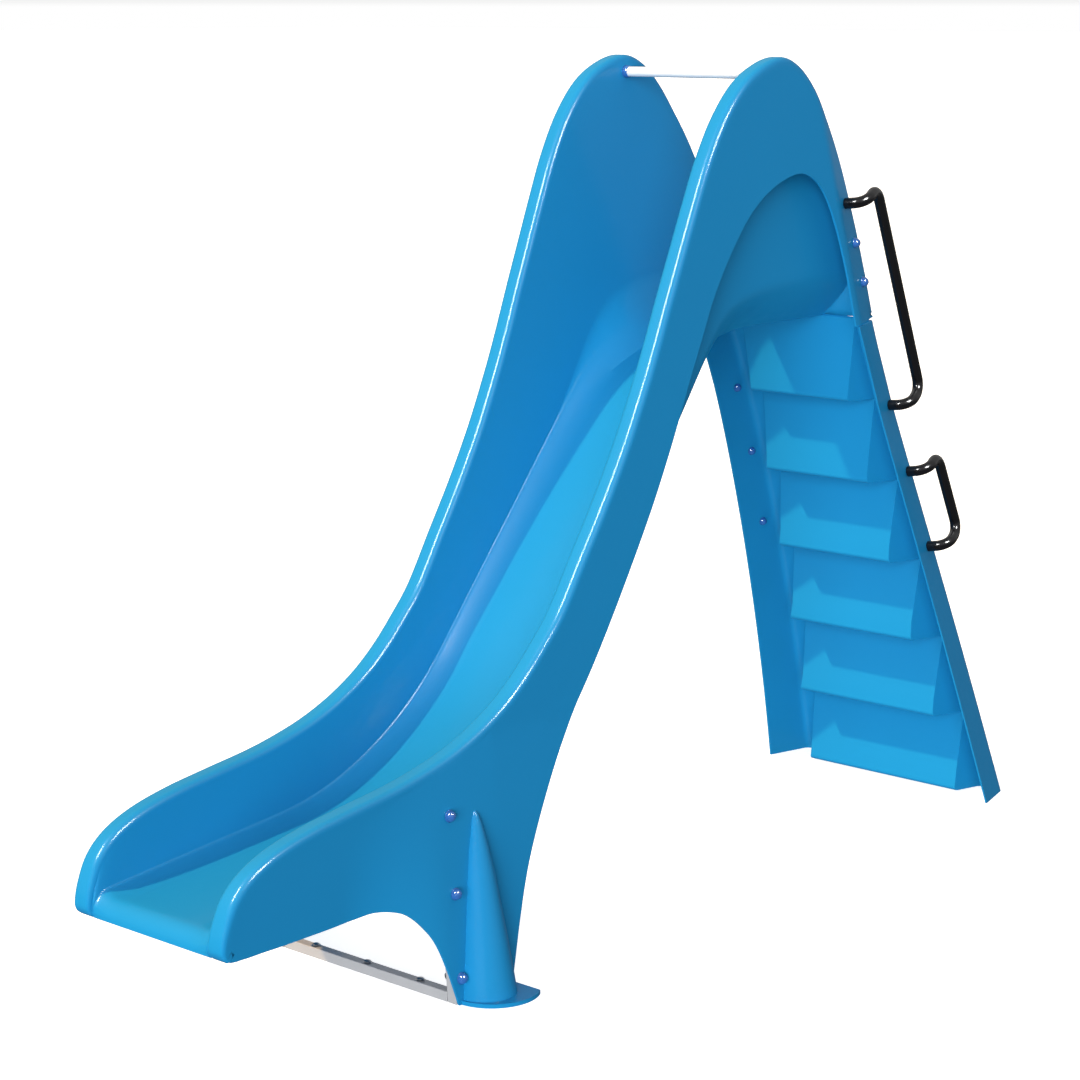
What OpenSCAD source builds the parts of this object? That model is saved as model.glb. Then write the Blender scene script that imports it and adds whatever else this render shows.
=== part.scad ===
// Pool slide: a moulded flume on two flared side skins, with a moulded ladder behind it.
// Millimetres, +Z up, ground at z = 0, water end toward -Y, ladder at +Y.
// The origin is the ground centre of the slide's plan outline.

/* [Flume] */
// Height of the standing platform above the ground
platform_height = 1425; // [1300:1:1550]
// Wall thickness of the moulded flume
flume_wall = 6; // [4:0.5:10]
// Half width between rim centres at ground level
rim_half_width = 214; // [180:1:260]
// Half width of the flat bed between the two creases
bed_half_width = 150; // [100:1:170]
// Radius of the rim's rounded edges
rim_radius = 17; // [10:0.5:22]
// Depth of the rim's outer lip
lip_depth = 24; // [15:1:35]

/* [Side skins] */
// Thickness of the side skins
skin_wall = 6; // [4:0.5:10]
// How far the feet flare outward at the ground
foot_flare = 66; // [20:1:90]
// Radius of the half-round pilaster at the ground
pilaster_radius = 76; // [40:1:90]
// Height of the pilaster's tip
pilaster_height = 436; // [300:1:500]
// Radius of the foot flange
flange_radius = 113; // [90:1:140]
// Thickness of the foot flange
flange_wall = 10; // [6:0.5:16]

/* [Ladder] */
// Number of step pockets
step_count = 6; // [4:1:8]
// Rise from one tread to the next
step_rise = 236.84; // [200:0.01:260]
// Run from one tread to the next
step_run = 91.4; // [60:0.1:120]
// Underside height of the top tread's inner edge
top_step_height = 1188.2; // [1100:0.1:1300]
// Thickness of the ladder moulding
ladder_wall = 5; // [4:0.5:8]
// Radius of the tread's inner edge
tread_radius = 12; // [6:0.5:20]

/* [Rails and bar] */
// Diameter of the handrail
rail_diameter = 29; // [25:0.5:38]
// Centre line radius of the handrail bends
rail_bend = 35; // [24:1:40]
// Diameter of the cross bar at the hump
bar_diameter = 26; // [20:0.5:34]

/* [Fixings] */
// Diameter of the dome nuts
nut_diameter = 29; // [22:0.5:34]
// Diameter of the through bolts
bolt_diameter = 8; // [6:0.5:10]
// Spacing of the bolts in the floor bar
floor_bolt_pitch = 173; // [120:1:200]

/* [Hidden] */
$fn = 48;

gel_blue = [0.10, 0.51, 0.75];
nut_blue = [0.24, 0.39, 0.72];
steel = [0.72, 0.72, 0.74];
rail_black = [0.05, 0.05, 0.05];
clearance = 0.3;

// ---- side outline of the bed: [length, turn] pieces from the lip up to the platform's rear ----
lip_radius = 42;
dip_radius = 850;
crest_radius = 540;
chute_slope = 50;
run_out_slope = 5.3;
bed_start = [-1456.8, 268.6, 96];
run_out_length = 521;
chute_length = 741.6;
platform_length = 340;
bed_pieces = [[lip_radius * (bed_start[2] - run_out_slope) * PI / 180, run_out_slope - bed_start[2]],
              [run_out_length, 0],
              [dip_radius * (chute_slope - run_out_slope) * PI / 180, chute_slope - run_out_slope],
              [chute_length, 0],
              [crest_radius * chute_slope * PI / 180, -chute_slope],
              [platform_length, 0]];

// one piece walked for a distance d from the pose p = [y, z, heading]
function walk(p, piece, d) =
    piece[1] == 0
    ? [p[0] + d * cos(p[2]), p[1] + d * sin(p[2]), p[2]]
    : let (r = piece[0] / (piece[1] * PI / 180), a = p[2] + piece[1] * d / piece[0])
      [p[0] + r * (sin(a) - sin(p[2])), p[1] - r * (cos(a) - cos(p[2])), a];
function along(p, pieces, s, i = 0) =
    i == len(pieces) - 1 || s <= pieces[i][0]
    ? walk(p, pieces[i], s)
    : along(walk(p, pieces[i], pieces[i][0]), pieces, s - pieces[i][0], i + 1);

// ---- stations: [bed distance, rim y, rim z, skin edge y, skin edge z, corner in the skin edge] ----
STATIONS = [
    [0, -1453, 267, -1437, 267, 0],
    [4, -1465, 278, -1432, 266, 0],
    [10, -1470, 298, -1420, 266, 0],
    [21, -1461, 341, -1395, 265, 0],
    [38, -1434, 398, -1355, 265, 0],
    [67, -1384, 443, -1310, 264, 0],
    [140, -1305, 477, -1240, 264, 0],
    [250, -1200, 501, -1160, 264, 0],
    [370, -1080, 518, -1085, 266, 0],
    [490, -956, 534, -1020, 267, 0],
    [610, -860, 552, -948, 246, 0],
    [730, -765, 577, -896, 200, 0],
    [850, -675, 612, -857, 137, 0],
    [970, -592, 657, -809, 0, 1],
    [1090, -520, 711, -629, 0, 1],
    [1210, -455, 774, -584, 165, 0],
    [1340, -393, 843, -530, 305, 0],
    [1490, -316, 962, -426, 485, 0],
    [1640, -240, 1079, -287, 675, 0],
    [1790, -165, 1208, -184, 835, 0],
    [1940, -100, 1340, -71, 1030, 0],
    [2050, -57, 1438, 8, 1190, 0],
    [2140, -12, 1549, 66, 1325, 0],
    [2220, 35, 1661, 115, 1435, 0],
    [2290, 80, 1768, 165, 1545, 0],
    [2355, 126, 1871, 232, 1650, 0],
    [2415, 186, 1972, 310, 1740, 0],
    [2470, 262, 2054, 403, 1799, 0],
    [2520, 350, 2101, 505, 1825, 0],
    [2570, 432, 2116, 580, 1801, 0],
    [2615, 505, 2090, 632, 1750, 0],
    [2655, 570, 2035, 676, 1678, 0],
    [2690, 625, 1968, 711, 1605, 0],
    [2720, 676, 1901, 740, 1535, 0],
    [2745, 722, 1829, 764, 1465, 0],
    [2765, 765, 1749, 784, 1411, 1],
    [2780, 811, 1657, 825, 1416, 0],
    [2792, 858, 1549, 865, 1421, 0],
    [2803, 900, 1440, 905, 1426, 0]];
KNOTS = len(STATIONS);
// stations are doubled where the outline turns quickly
function fine(k) = k < 6 || (k >= 21 && k < 34);
T = [for (k = [0:KNOTS - 1]) each (k < KNOTS - 1 && fine(k) ? [k, k + 0.5] : [k])];
ROWS = len(T);

// smooth curve through station columns a and b, with straight starts at the marked corners
function knot(k, c) = STATIONS[max(0, min(KNOTS - 1, k))][c];
function pair(k, a, b) = [knot(k, a), knot(k, b)];
function tangent(k, side, a, b, f) =
    f > 0 && knot(k, f) == 1
    ? (side > 0 ? pair(k + 1, a, b) - pair(k, a, b) : pair(k, a, b) - pair(k - 1, a, b))
    : k <= 0 ? pair(1, a, b) - pair(0, a, b)
    : k >= KNOTS - 1 ? pair(k, a, b) - pair(k - 1, a, b)
    : (pair(k + 1, a, b) - pair(k - 1, a, b)) / 2;
function curve(t, a, b, f = 0) =
    let (k = min(floor(t), KNOTS - 2), u = t - k)
    (2 * u ^ 3 - 3 * u ^ 2 + 1) * pair(k, a, b) + (u ^ 3 - 2 * u ^ 2 + u) * tangent(k, 1, a, b, f)
    + (3 * u ^ 2 - 2 * u ^ 3) * pair(k + 1, a, b) + (u ^ 3 - u ^ 2) * tangent(k + 1, -1, a, b, f);

function unit(v) = v / norm(v);
function blend(a, b, x) = let (u = max(0, min(1, (x - a) / (b - a)))) u * u * (3 - 2 * u);
function left(v) = [-v[1], v[0]];
function bed(t) = along(bed_start, bed_pieces, curve(t, 0, 0)[0]);
function rim(t) = curve(t, 1, 2);
function rim_out(t) = left(unit(curve(min(t + 0.05, KNOTS - 1), 1, 2) - curve(max(t - 0.05, 0), 1, 2)));
function skin_edge(t) = let (e = curve(t, 3, 4, 5)) [e[0], max(0, e[1])];

// ---- plan widths ----
rear_bend = 0.28;
bend_blend = 15;
function bend_line(z) = 1326 - 0.37 * z;
function front_line(z) = 1326 - 0.312 * z - 5.2e-5 * z * z;
function rear_line(z) = 1475 - 0.3415 * z - 5e-5 * z * z;
function past(d) = d < -bend_blend ? 0 : d > bend_blend ? d : (d + bend_blend) ^ 2 / (4 * bend_blend);
function flare_top(y) = min(600, 792 + 0.3 * y);
function flare(y, z) = z < flare_top(y) ? foot_flare * blend(-1120, -820, y) * (1 - (z / flare_top(y)) ^ 1.2) : 0;
function skin_x(y, z) =
    rim_half_width + 27 + 0.018 * z + flare(y, z) - rear_bend * past(y - bend_line(z));
function rim_inner(z) = rim_half_width - 27 + 0.018 * z;

// ---- flume cross section ----
arc_steps = 3;
cove_steps = 5;
function crease_x(t) = let (s = curve(t, 0, 0)[0]) bed_half_width - 8 * blend(650, 950, s) - 67 * blend(1990, 2320, s);
function soft(t) = blend(1890, 2390, curve(t, 0, 0)[0]);
function radius_at(t) =
    let (z = rim(t)[1], w = skin_x(rim(t)[0], z) - rim_inner(z))
    min(rim_radius, w * 0.32, 8 + 9 * blend(0, 5, t));

// visible half section (side = 1) or its copy one wall further inside (side = 0), outer lip first
function half_section(t, inside) =
    let (b = bed(t), up_b = [-sin(b[2]), cos(b[2])], r_c = rim(t), up_r = rim_out(t), r = radius_at(t),
         e = inside ? flume_wall : 0,
         up_w = unit(r_c - [b[0], b[1]]), xi = rim_inner(r_c[1]),
         wall_foot = 187 + 8 * soft(t),
         reach = norm(r_c - [b[0], b[1]]) - r,
         slope_h = min((wall_foot - crease_x(t)) * (0.35 + 0.37 * soft(t)), max(1, 0.45 * reach)),
         top_h = slope_h + min(5 + 52 * soft(t), max(0.8, 0.35 * reach)),
         mix_k = 0.3 + 0.7 * soft(t),
         c0 = [crease_x(t), 0], c1 = [wall_foot, slope_h], c2 = [wall_foot, top_h],
         q0 = c1 + mix_k * (c0 - c1),
         lip_q = r_c - lip_depth * up_r,
         lip = [skin_x(lip_q[0], lip_q[1]) - e, lip_q[0], lip_q[1]],
         outer = [for (i = [0:arc_steps])
             let (a = 90 * i / arc_steps, q = r_c + up_r * ((r - e) * sin(a) - r))
             [skin_x(q[0], q[1]) - r + (r - e) * cos(a), q[0], q[1]]],
         inner = [for (i = [0:arc_steps])
             let (a = 90 + 90 * i / arc_steps, q = r_c + up_r * ((r - e) * sin(a) - r))
             [xi + r + (r - e) * cos(a), q[0], q[1]]],
         n_c = unit([c1[1] - c0[1], -(c1[0] - c0[0])]),
         cove = [for (i = [0:cove_steps])
             let (u = 1 - i / cove_steps,
                  q = (1 - u) ^ 2 * q0 + 2 * u * (1 - u) * c1 + u ^ 2 * c2,
                  d = (1 - u) * (c1 - q0) + u * (c2 - c1),
                  n = norm(d) > 0.01 ? unit([d[1], -d[0]]) : n_c,
                  w = q + e * n,
                  p = [b[0], b[1]] + (w[1] > 0 ? up_w : up_b) * w[1])
             [w[0], p[0], p[1]]],
         half_n = unit(n_c + [0, -1]),
         w0 = c0 + e * half_n / (half_n * n_c),
         p0 = [b[0], b[1]] + up_b * w0[1],
         pm = [b[0], b[1]] - up_b * e)
    concat([lip], outer, inner, cove, [[w0[0], p0[0], p0[1]]], [[0, pm[0], pm[1]]]);

function mirrored(h) = [for (i = [len(h) - 2:-1:0]) [-h[i][0], h[i][1], h[i][2]]];
function full_section(t, inside) = let (h = half_section(t, inside)) concat(h, mirrored(h));
// closed ring: visible points one way, hidden points back
function ring(t) = let (v = full_section(t, false), h = full_section(t, true))
    concat(v, [for (i = [len(h) - 1:-1:0]) h[i]]);

// quads between successive rings of n points, plus strip-wise caps on the two ends
module ring_loft(rings) {
    n = len(rings[0]);
    m = len(rings);
    half = n / 2;
    sides = [for (j = [0:m - 2]) for (i = [0:n - 1])
        [j * n + i, j * n + (i + 1) % n, (j + 1) * n + (i + 1) % n, (j + 1) * n + i]];
    first = [for (i = [0:half - 2]) [i, n - 1 - i, n - 2 - i, i + 1]];
    last = [for (i = [0:half - 2]) [for (c = [i + 1, n - 2 - i, n - 1 - i, i]) (m - 1) * n + c]];
    polyhedron([for (r = rings) each r], [for (f = concat(sides, first, last))
        each [[f[0], f[1], f[2]], [f[0], f[2], f[3]]]]);
}

module flume() {
    color(gel_blue)
        ring_loft([for (t = T) ring(t)]);
}

// ---- side skins ----
skin_columns = 9;
nut_line = [[781, 1631], [830, 1525]];
foot_nuts = [[-796, 440], [-799, 260], [-800.5, 63]];
upper_leg = [722, 1737.5];
function skin_row(t, e) =
    let (r = rim(t) - lip_depth * rim_out(t), s = skin_edge(t))
    [for (j = [0:skin_columns])
        let (q = r + (s - r) * j / skin_columns) [skin_x(q[0], q[1]) - e, q[0], q[1]]];
function skin_ring(t) = let (v = skin_row(t, 0), h = skin_row(t, skin_wall))
    concat(h, [for (i = [len(v) - 1:-1:0]) v[i]]);

module side_skin() {
    flange_y = -690;
    flange_cut_y = -632;
    flange_x = 300;
    outer_face = skin_x(flange_y, 0);
    difference() {
        union() {
            ring_loft([for (t = T) skin_ring(t)]);
            difference() {
                pilaster();
                for (n = foot_nuts)
                    on_skin(n)
                        lying(40, nut_diameter + 3, -0.5);
            }
            intersection() {
                translate([flange_x, flange_y, 0])
                    cylinder(r = flange_radius, h = flange_wall, $fn = 96);
                translate([outer_face - 3, flange_y - 2 * flange_radius, 0])
                    cube([2 * flange_radius, 2 * flange_radius + flange_cut_y - flange_y, flange_wall]);
            }
        }
        for (n = foot_nuts)
            skin_bore(n);
        for (n = nut_line)
            skin_bore(n);
        at_rail_legs(upper_ends, skin_wall)
            lying(30, bolt_diameter + 1, -20);
    }
}

// half ogive leaning inward with the skin, cut off just inside the skin's outer face
module pilaster() {
    centre_y = -721;
    lean = (skin_x(centre_y, 0) - skin_x(centre_y, pilaster_height)) / pilaster_height;
    multmatrix([[1, 0, -lean, skin_x(centre_y, 0) - 1], [0, 1, 0.02, centre_y], [0, 0, 1, 0], [0, 0, 0, 1]])
        intersection() {
            rotate_extrude($fn = 96)
                polygon([for (p = [[0, 0], [1, 0], [0.79, 0.31], [0.51, 0.66], [0.37, 0.8], [0.2, 0.93], [0, 1]])
                    [p[0] * pilaster_radius, p[1] * pilaster_height]]);
            translate([0, -pilaster_radius, 0])
                cube([pilaster_radius, 2 * pilaster_radius, pilaster_height]);
        }
}

// hole through the wall at side position n = [y, z], square to the wall's own bend
function wall_turn(y, z) = y > bend_line(z) ? atan(rear_bend) : 0;
function wall_tilt(y, z) = atan((skin_x(y, z - 5) - skin_x(y, z + 5)) / 10);
module on_skin(n) {
    translate([skin_x(n[0], n[1]), n[0], n[1]])
        rotate([0, -wall_tilt(n[0], n[1]), wall_turn(n[0], n[1])])
            children();
}
module skin_bore(n) {
    on_skin(n)
        rotate([0, 90, 0])
            cylinder(d = bolt_diameter + 1, h = 40, center = true);
}

module side_skin_right() {
    color(gel_blue)
        side_skin();
}
module side_skin_left() {
    color(gel_blue)
        mirror([1, 0, 0])
            side_skin();
}

// ---- ladder ----
ladder_top = 1411;
panel_set = 6;
top_rise = 7;
plate_flare = 107;
plate_bend = 0.26;
// outer face of a ladder side plate
function plate_x(y, z) =
    rim_half_width + 63 + plate_flare * max(0, 1 - z / 1200) ^ 1.3 - plate_bend * (y - front_line(z));
function panel_y(z) = rear_line(z) - panel_set;
function step_z(k) = top_step_height - (k - 1) * step_rise;
function step_y(k) = 900 + (k - 1) * step_run;
function pocket_half(z) = plate_x(rear_line(z), z) - 88;
end_taper = 30;

// rows of one pocket, top to bottom: [profile y, profile z, share of the way down the panel]
function pocket_rows(k) =
    let (zt = k == 1 ? ladder_top : step_z(k - 1), zb = step_z(k), top = [panel_y(zt), zt],
         edge = [step_y(k), zb], back = [panel_y(zb), zb],
         lean = unit(top - edge), flat = unit(back - edge),
         half_a = acos(lean * flat) / 2, run = tread_radius / tan(half_a),
         centre = edge + (tread_radius / sin(half_a)) * unit(lean + flat),
         a0 = edge + run * lean, a1 = edge + run * flat,
         w0 = a0 - centre, w1 = a1 - centre,
         turn = 180 - 2 * half_a,
         arc = [for (i = [1:2]) let (a = turn * i / 3) centre + (sin(turn - a) * w0 + sin(a) * w1) / sin(turn)])
    [[top[0], top[1], 0], [(top[0] + a0[0]) / 2, (top[1] + a0[1]) / 2, 0.45], [a0[0], a0[1], 0.86],
     [arc[0][0], arc[0][1], 0.90], [arc[1][0], arc[1][1], 0.94], [a1[0], a1[1], 0.97]];
bottom_z = 0;
all_rows = [for (k = [1:step_count]) for (r = pocket_rows(k))
    [r[0], max(bottom_z, r[1]), (k == 1 ? ladder_top : step_z(k - 1)) * (1 - r[2]) + max(bottom_z, step_z(k)) * r[2]]];
ladder_rows = concat(all_rows, [[panel_y(bottom_z), bottom_z, bottom_z]]);

// front face of the ladder at one row: plate front edge, plate, fillet, margin, pocket end, middle
function ladder_points(row) =
    let (z = row[2], y = panel_y(z), deep = max(0, panel_y(row[1]) - row[0]),
         pz = pocket_half(z) + end_taper,
         px = pocket_half(row[1]) + end_taper - end_taper * min(1, deep / 100),
         yf = front_line(z), yc = y - 18, w = ladder_wall)
    // each entry: [front point, shift to the climbing side]
    [[[plate_x(yf, z) - w, yf, z], [w, 0, 0]],
     [[plate_x((yf + yc) / 2, z) - w, (yf + yc) / 2, z], [w, 0, 0]],
     [[plate_x(yc, z) - w, yc, z], [w, 0.25 * w, 0]],
     [[plate_x(y - 6, z) - w - 5, y - 5, z], [w * 0.95, w * 0.9, 0]],
     [[plate_x(y, z) - w - 18, y, z], [w * 0.2, w, 0]],
     [[pz, y, z], [-0.4 * w, w, 0]],
     [[px, row[0], row[1]], [-w, w, row[1] > 1 ? w * 0.9 : 0]],
     [[0, row[0], row[1]], [0, w, row[1] > 1 ? w * 0.9 : 0]]];
// the ladder's top edge rises toward the climbing side
function lifted(p) = p + [0, 0, top_rise * max(0, 1 - (ladder_top - p[2]) / 60)
    * max(0, min(1, (p[1] - front_line(p[2])) / 90))];
function ladder_ring(row) =
    let (p = ladder_points(row), n = len(p),
         front = [for (q = p) lifted(q[0])], rear = [for (q = p) lifted(q[0]) + q[1]],
         all_front = concat(front, [for (i = [n - 2:-1:0]) [-front[i][0], front[i][1], front[i][2]]]),
         all_rear = concat(rear, [for (i = [n - 2:-1:0]) [-rear[i][0], rear[i][1], rear[i][2]]]))
    concat(all_rear, [for (i = [len(all_front) - 1:-1:0]) all_front[i]]);

// tongue of the side plate that continues up inside the side skin
tongue_gap = 0.6;
// [height, rear edge y] down the tongue
tongue_rows = [[ladder_top - 60, 893], [ladder_top - 5, 872], [ladder_top + 20, 869], [1480, 862], [1560, 829],
               [1610, 808], [1668, 783]];
module tongue() {
    shares = [0, 0.15, 0.35, 0.6, 1];
    inset = skin_wall + tongue_gap;
    points = [for (row = tongue_rows) let (
        z = row[0],
        front = bend_line(z) + 8,
        edge = [for (s = shares) let (y = front + s * (row[1] - front))
            [z < ladder_top ? plate_x(y, z) - ladder_wall + 0.5 : skin_x(y, z) - inset, y, z]])
        concat(edge, [for (i = [len(edge) - 1:-1:0]) edge[i] - [ladder_wall, 0, 0]])];
    ring_loft([for (i = [len(points) - 1:-1:0]) points[i]]);
}

module ladder() {
    color(gel_blue)
        difference() {
            union() {
                ring_loft([for (r = ladder_rows) ladder_ring(r)]);
                tongue();
                mirror([1, 0, 0])
                    tongue();
            }
            both_sides()
                for (n = nut_line)
                    skin_bore(n);
            at_legs()
                lying(30, bolt_diameter + 1, -20);
        }
}

module both_sides() {
    children();
    mirror([1, 0, 0])
        children();
}

// ---- handrails ----
plate_legs = [[957, 1182.5], [1042, 990], [1127, 770]];
leg_reach = 60;
rail_stand = 86;
leg_bore = 15;
leg_start = 1.6;
plate_turn = atan(plate_bend);
function plate_point(n) = [plate_x(n[0], n[1]), n[0], n[1]];
function skin_point(n) = [skin_x(n[0], n[1]), n[0], n[1]];
upper_ends = [skin_point(upper_leg), plate_point(plate_legs[0])];
lower_ends = [plate_point(plate_legs[1]), plate_point(plate_legs[2])];

// frame at the upper leg: X out of the wall, Z up along the rail, so the lower leg is at -Z
module rail_frame(ends) {
    z = unit(ends[0] - ends[1]);
    wall_out = [cos(plate_turn), sin(plate_turn), 0];
    x = unit(wall_out - (wall_out * z) * z);
    y = cross(z, x);
    p = ends[0];
    multmatrix([[x[0], y[0], z[0], p[0]], [x[1], y[1], z[1], p[1]], [x[2], y[2], z[2], p[2]], [0, 0, 0, 1]])
        children();
}
module quarter_bend() {
    rotate_extrude(angle = 90, $fn = 64)
        translate([rail_bend, 0])
            circle(d = rail_diameter, $fn = 32);
}
module leg(at_z) {
    translate([0, 0, at_z]) {
        lying(leg_reach - rail_bend - leg_start, rail_diameter, leg_start, $fn = 32);
        translate([leg_reach - rail_bend, rail_bend, 0])
            rotate([0, 0, -90])
                quarter_bend();
        translate([leg_reach, rail_bend, 0])
            rotate([-90, 0, 0])
                cylinder(d = rail_diameter, h = rail_stand - 2 * rail_bend, $fn = 32);
    }
}
module handrail(ends) {
    long = norm(ends[0] - ends[1]);
    rail_frame(ends)
        difference() {
            union() {
                leg(0);
                leg(-long);
                translate([leg_reach, rail_stand - rail_bend, -rail_bend])
                    rotate([90, 0, 90])
                        quarter_bend();
                translate([leg_reach, rail_stand - rail_bend, rail_bend - long])
                    rotate([90, 0, 90])
                        rotate([0, 0, -90])
                            quarter_bend();
                translate([leg_reach, rail_stand, rail_bend - long])
                    cylinder(d = rail_diameter, h = long - 2 * rail_bend, $fn = 32);
            }
            for (z = [0, -long])
                translate([0, 0, z])
                    lying(leg_bore + 1, bolt_diameter + 0.4, -1);
        }
}
module handrail_upper_right() {
    color(rail_black)
        handrail(upper_ends);
}
module handrail_upper_left() {
    color(rail_black)
        mirror([1, 0, 0])
            handrail(upper_ends);
}
module handrail_lower_right() {
    color(rail_black)
        handrail(lower_ends);
}
module handrail_lower_left() {
    color(rail_black)
        mirror([1, 0, 0])
            handrail(lower_ends);
}

// children placed at each leg of one handrail, +X along the leg, $wall = thickness it stands on
module at_rail_legs(ends, first_wall) {
    rail_frame(ends) {
        $wall = first_wall;
        children();
    }
    rail_frame(ends)
        translate([0, 0, -norm(ends[0] - ends[1])]) {
            $wall = ladder_wall;
            children();
        }
}
module at_legs() {
    both_sides() {
        at_rail_legs(upper_ends, skin_wall)
            children();
        at_rail_legs(lower_ends, ladder_wall)
            children();
    }
}
module lying(h, d, x) {
    translate([x, 0, 0])
        rotate([0, 90, 0])
            cylinder(d = d, h = h);
}
cap_reach = 15;
module handrail_bolts() {
    color(steel)
        at_legs()
            lying(leg_bore - 2 + cap_reach, bolt_diameter, -cap_reach);
}
// dome pointing along +X from its seat at x = 0, with a bore for the bolt
module dome(d, h, bore_d, bore_h) {
    flange = 3;
    dome_r = d / 2 - 1.5;
    rotate([0, 90, 0])
        difference() {
            union() {
                cylinder(d = d, h = flange);
                translate([0, 0, flange - 0.01])
                    scale_free_dome(dome_r, h - flange);
            }
            translate([0, 0, -1])
                cylinder(d = bore_d, h = bore_h + 1);
        }
}
// spherical cap of base radius r and height h, standing on z = 0
module scale_free_dome(r, h) {
    ball = (r * r + h * h) / (2 * h);
    rotate_extrude()
        intersection() {
            translate([0, h - ball])
                circle(r = ball, $fn = 96);
            square([r, h]);
        }
}
module handrail_caps() {
    color(nut_blue)
        at_legs()
            translate([-$wall - 1.3, 0, 0])
                mirror([1, 0, 0])
                    dome(24, 14, bolt_diameter + 0.4, 10);
}

// ---- top bar ----
bar_at = [415, 2073];
bar_half = rim_inner(bar_at[1]) - 3;
module top_bar() {
    color([0.9, 0.91, 0.93])
        translate([-bar_half, bar_at[0], bar_at[1]])
            rotate([0, 90, 0])
                cylinder(d = bar_diameter, h = 2 * bar_half);
}
collar_length = 14;
module top_bar_collars() {
    color(nut_blue)
        both_sides()
            translate([bar_half + 2, bar_at[0], bar_at[1]])
                rotate([0, -90, 0])
                    rotate_extrude()
                        polygon([[bar_diameter / 2 + 0.2, 0], [bar_diameter / 2 + 3.5, 0],
                                 [bar_diameter / 2 + 3.5, 4], [bar_diameter / 2 + 2.8, 8],
                                 [bar_diameter / 2 + 1.6, 11.5], [bar_diameter / 2 + 0.2, collar_length]]);
}

// ---- joint fixings between the side skins and the ladder's tongues ----
stack = skin_wall + tongue_gap + ladder_wall;
module at_joints() {
    both_sides()
        for (n = nut_line)
            on_skin(n)
                children();
}
module joint_bolts() {
    color(steel)
        at_joints()
            bolt(stack * 1.05 + 2.5);
}
module joint_washers() {
    color(steel)
        at_joints()
            washer(20, stack * 1.05 + 0.4);
}
module joint_dome_nuts() {
    color(nut_blue)
        at_joints()
            translate([clearance, 0, 0])
                dome(nut_diameter, 17, bolt_diameter + 0.4, 8);
}
// hexagon-headed bolt whose shank starts 7 mm outside the face and whose head seats at x = -grip
head_height = 5.3;
module bolt(grip) {
    lying(grip + 7, bolt_diameter, -grip);
    translate([-grip - head_height, 0, 0])
        rotate([0, 90, 0])
            cylinder(d = 15, h = head_height, $fn = 6);
}
module washer(d, depth) {
    difference() {
        lying(1.6, d, -depth - 1.6);
        lying(4, bolt_diameter + 0.6, -depth - 3);
    }
}

// ---- foot frame: floor bar welded to two uprights ----
bar_height = 25;
bar_width = 27;
bar_front = -812.5;
upright_width = 27;
upright_top = 467;
upright_y = bar_front + bar_width / 2;
upright_lean = atan((skin_x(upright_y, 0) - skin_x(upright_y, 440)) / 440);
upright_foot = skin_x(upright_y, 0) - skin_wall - 1.6;
module foot_frame() {
    k = tan(upright_lean);
    wide = upright_width / cos(upright_lean);
    right = [[upright_foot, 0], [upright_foot - k * upright_top, upright_top],
             [upright_foot - wide - k * upright_top, upright_top],
             [upright_foot - wide - k * bar_height, bar_height]];
    color(steel)
        difference() {
            translate([0, bar_front + bar_width, 0])
                rotate([90, 0, 0])
                    linear_extrude(bar_width)
                        polygon(concat(right, [for (i = [3:-1:0]) [-right[i][0], right[i][1]]]));
            both_sides()
                for (n = foot_nuts)
                    on_skin(n)
                        lying(70, bolt_diameter + 1, -60);
            for (x = [-1:1])
                translate([x * floor_bolt_pitch, upright_y, -1])
                    cylinder(d = bolt_diameter + 2, h = bar_height + 2);
        }
}
// depth from the skin's outer face to the upright's inner face at side position n
function foot_grip(n) = skin_x(n[0], n[1]) - upright_foot + n[1] * tan(upright_lean) + upright_width + 1.2;
module at_feet() {
    both_sides()
        for (i = [0:2])
            on_skin(foot_nuts[i]) {
                $grip = foot_grip(foot_nuts[i]);
                children();
            }
}
module foot_bolts() {
    color(steel)
        at_feet()
            bolt($grip + 1.9);
}
module foot_washers() {
    color(steel)
        at_feet()
            washer(22, $grip + 0.2);
}
module foot_dome_nuts() {
    color(nut_blue)
        at_feet()
            translate([0.8, 0, 0])
                dome(nut_diameter, 17, bolt_diameter + 0.4, 8);
}
module at_floor_bolts() {
    for (x = [-1:1])
        translate([x * floor_bolt_pitch, upright_y, 0])
            children();
}
module floor_bolts() {
    color(steel)
        at_floor_bolts() {
            translate([0, 0, 1])
                cylinder(d = bolt_diameter + 1, h = bar_height + 1.6);
            translate([0, 0, bar_height + 2])
                rotate_extrude()
                    polygon([[0, 0], [9, 0], [9, 2.5], [7, 4.6], [4, 5.6], [0, 6]]);
        }
}
module floor_washers() {
    color(steel)
        at_floor_bolts()
            translate([0, 0, bar_height + 0.2])
                difference() {
                    cylinder(d = 24, h = 1.6);
                    translate([0, 0, -1])
                        cylinder(d = bolt_diameter + 1.4, h = 4);
                }
}

flume();
side_skin_right();
side_skin_left();
ladder();
top_bar();
top_bar_collars();
handrail_upper_right();
handrail_upper_left();
handrail_lower_right();
handrail_lower_left();
handrail_bolts();
handrail_caps();
joint_bolts();
joint_washers();
joint_dome_nuts();
foot_frame();
foot_bolts();
foot_washers();
foot_dome_nuts();
floor_bolts();
floor_washers();
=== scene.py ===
"""Pool slide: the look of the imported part, built from the same dimensions as the CAD."""
import math

import bmesh
import bpy
import numpy as np
from mathutils import Matrix, Vector


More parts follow.
